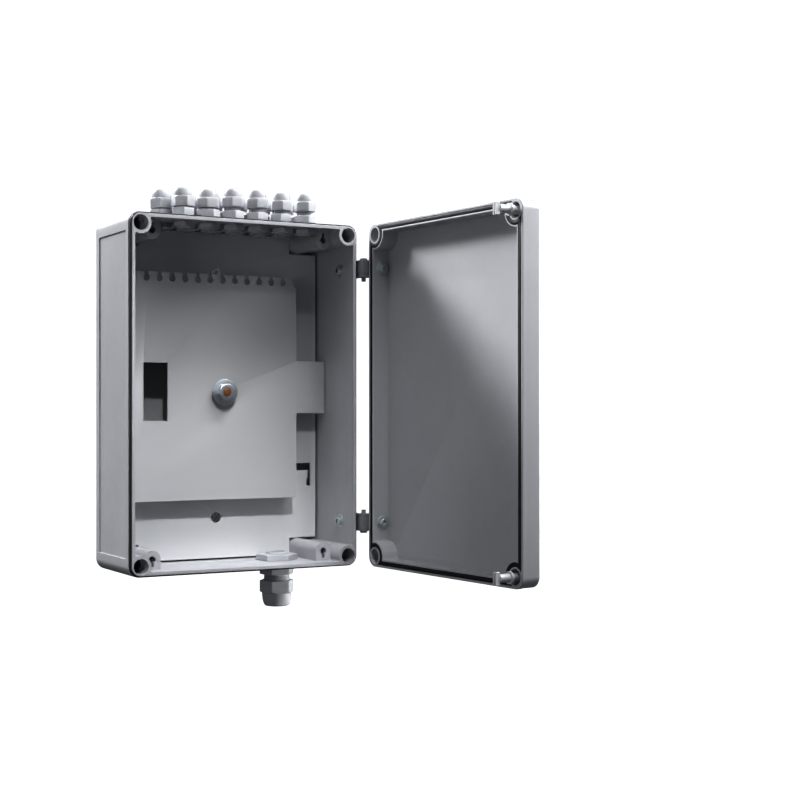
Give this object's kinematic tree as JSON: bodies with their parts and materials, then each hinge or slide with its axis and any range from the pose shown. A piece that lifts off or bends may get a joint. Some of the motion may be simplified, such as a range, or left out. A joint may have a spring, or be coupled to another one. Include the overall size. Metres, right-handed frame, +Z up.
{
  "type": "electrical junction box",
  "caption": "Wall-mounted electrical junction box with a hinged door, cable glands on top and below, a mounting plate and a combed cover plate inside.",
  "frame": {"origin": "centre of the wall face, on the flat back of the enclosure", "axes": "+X right, +Y into the wall, +Z up; the open front looks along -Y; the door is stored open"},
  "size_m": [0.3047, 0.3642, 0.4378],
  "materials": {
    "shell_grey": "fine moulded grain, satin",
    "seal_black": "soft, matt",
    "rubber_dark": "soft, matt",
    "plate_grey": "smooth light grey coating",
    "cover_grey": "smooth light grey coating",
    "zinc": "blue passivated zinc",
    "steel": "bright",
    "brass": "turned",
    "pin_grey": "moulded",
    "hinge_grey": "moulded, fine grain",
    "lock_grey": "moulded",
    "gland_grey": "smooth polyamide"
  },
  "bodies": {
    "enclosure": {"enclosure_body": "shell_grey", "rim_seal": "seal_black", "plate_inserts": "brass", "mounting_plate": "plate_grey", "plate_screws": "zinc", "cover_plate": "cover_grey", "cover_stud": "brass", "cover_spacer": "steel", "cover_bush": "rubber_dark", "cover_washer": "zinc", "hinge_upper_body_leaf": "hinge_grey", "hinge_lower_body_leaf": "hinge_grey", "hinge_upper_pin": "pin_grey", "hinge_lower_pin": "pin_grey", "hinge_body_screws": "zinc", "hinge_body_washers": "zinc", "gland_bodies_top": "gland_grey", "gland_gaskets_top": "rubber_dark", "gland_locknuts_top": "gland_grey", "gland_seals_top": "rubber_dark", "bottom_gland_body": "gland_grey", "bottom_gland_gasket": "rubber_dark", "bottom_gland_locknut": "gland_grey", "bottom_gland_seal": "rubber_dark"},
    "door": {"door_shell": "shell_grey", "door_gasket": "seal_black", "hinge_upper_door_leaf": "hinge_grey", "hinge_lower_door_leaf": "hinge_grey", "hinge_door_screws": "zinc", "hinge_door_washers": "zinc"},
    "lock_upper": {"lock_upper_bolt": "lock_grey", "lock_upper_clip": "steel", "lock_upper_seal": "rubber_dark"},
    "lock_lower": {"lock_lower_bolt": "lock_grey", "lock_lower_clip": "steel", "lock_lower_seal": "rubber_dark"},
    "cover_nut": {"cover_nut": "zinc"},
    "cap_01": {"gland_cap_01": "gland_grey"},
    "cap_02": {"gland_cap_02": "gland_grey"},
    "cap_03": {"gland_cap_03": "gland_grey"},
    "cap_04": {"gland_cap_04": "gland_grey"},
    "cap_05": {"gland_cap_05": "gland_grey"},
    "cap_06": {"gland_cap_06": "gland_grey"},
    "cap_07": {"gland_cap_07": "gland_grey"},
    "cap_08": {"gland_cap_08": "gland_grey"},
    "cap_09": {"gland_cap_09": "gland_grey"},
    "cap_10": {"gland_cap_10": "gland_grey"},
    "cap_11": {"gland_cap_11": "gland_grey"},
    "cap_12": {"gland_cap_12": "gland_grey"},
    "bottom_cap": {"bottom_gland_cap": "gland_grey"}
  },
  "joints": [
    {"name": "door_hinge", "type": "hinge", "parent": "enclosure", "child": "door", "pos_m": [0.1348, -0.1033, 0], "axis": [0, 0, 1], "range_deg": [-94.35, 85.65]},
    {"name": "lock_upper_turn", "type": "hinge", "parent": "door", "child": "lock_upper", "pos_m": [0.15451, -0.35313, 0.1693], "axis": [-0.9971, -0.0758, 0], "range_deg": [0, 90]},
    {"name": "lock_lower_turn", "type": "hinge", "parent": "door", "child": "lock_lower", "pos_m": [0.15451, -0.35313, -0.1693], "axis": [-0.9971, -0.0758, 0], "range_deg": [0, 90]},
    {"name": "cap_01_turn", "type": "hinge", "parent": "enclosure", "child": "cap_01", "pos_m": [-0.0759, -0.056, 0.1985], "axis": [0, 0, 1], "range_deg": [0, 1440]},
    {"name": "cap_02_turn", "type": "hinge", "parent": "enclosure", "child": "cap_02", "pos_m": [-0.0621, -0.08, 0.1985], "axis": [0, 0, 1], "range_deg": [-24, 1416]},
    {"name": "cap_03_turn", "type": "hinge", "parent": "enclosure", "child": "cap_03", "pos_m": [-0.0483, -0.056, 0.1985], "axis": [0, 0, 1], "range_deg": [-72, 1368]},
    {"name": "cap_04_turn", "type": "hinge", "parent": "enclosure", "child": "cap_04", "pos_m": [-0.0345, -0.08, 0.1985], "axis": [0, 0, 1], "range_deg": [-48, 1392]},
    {"name": "cap_05_turn", "type": "hinge", "parent": "enclosure", "child": "cap_05", "pos_m": [-0.0207, -0.056, 0.1985], "axis": [0, 0, 1], "range_deg": [-264, 1176]},
    {"name": "cap_06_turn", "type": "hinge", "parent": "enclosure", "child": "cap_06", "pos_m": [-0.0069, -0.08, 0.1985], "axis": [0, 0, 1], "range_deg": [-624, 816]},
    {"name": "cap_07_turn", "type": "hinge", "parent": "enclosure", "child": "cap_07", "pos_m": [0.0069, -0.056, 0.1985], "axis": [0, 0, 1], "range_deg": [-408, 1032]},
    {"name": "cap_08_turn", "type": "hinge", "parent": "enclosure", "child": "cap_08", "pos_m": [0.0207, -0.08, 0.1985], "axis": [0, 0, 1], "range_deg": [-768, 672]},
    {"name": "cap_09_turn", "type": "hinge", "parent": "enclosure", "child": "cap_09", "pos_m": [0.0345, -0.056, 0.1985], "axis": [0, 0, 1], "range_deg": [-216, 1224]},
    {"name": "cap_10_turn", "type": "hinge", "parent": "enclosure", "child": "cap_10", "pos_m": [0.0483, -0.08, 0.1985], "axis": [0, 0, 1], "range_deg": [-624, 816]},
    {"name": "cap_11_turn", "type": "hinge", "parent": "enclosure", "child": "cap_11", "pos_m": [0.0621, -0.056, 0.1985], "axis": [0, 0, 1], "range_deg": [-456, 984]},
    {"name": "cap_12_turn", "type": "hinge", "parent": "enclosure", "child": "cap_12", "pos_m": [0.0759, -0.08, 0.1985], "axis": [0, 0, 1], "range_deg": [-768, 672]},
    {"name": "bottom_cap_turn", "type": "hinge", "parent": "enclosure", "child": "bottom_cap", "pos_m": [0.058, -0.05, -0.2055], "axis": [0, 0, -1], "range_deg": [-1128, 1440]},
    {"name": "cover_nut_turn", "type": "hinge", "parent": "enclosure", "child": "cover_nut", "pos_m": [0, -0.0483, 0.0033], "axis": [0, -1, 0], "range_deg": [0, 720]}
  ]
}
